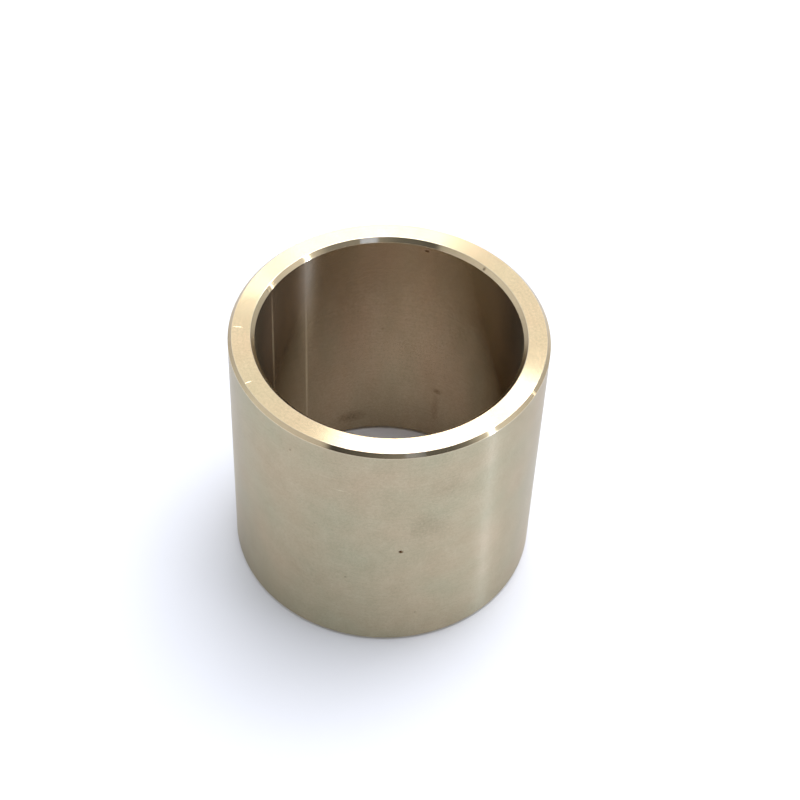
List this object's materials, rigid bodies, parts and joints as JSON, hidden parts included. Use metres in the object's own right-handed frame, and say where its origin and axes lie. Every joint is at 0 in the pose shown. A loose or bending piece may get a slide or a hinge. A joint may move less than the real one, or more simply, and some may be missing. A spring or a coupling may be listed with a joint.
{
  "type": "bronze sleeve bushing",
  "caption": "Plain cylindrical bronze sleeve bushing: a thin-walled solid ring with a through bore and chamfered ends, pressed into a housing to carry a turning shaft.",
  "frame": {"origin": "centre of the lower end face, on the bore axis", "axes": "+Z along the bore axis, from the end it stands on to the other end"},
  "size_m": [0.06, 0.06, 0.056],
  "materials": {
    "bronze": "satin turned bronze, bright faced ends, uncoated"
  },
  "bodies": {
    "root": {"sleeve": "bronze"}
  },
  "joints": []
}
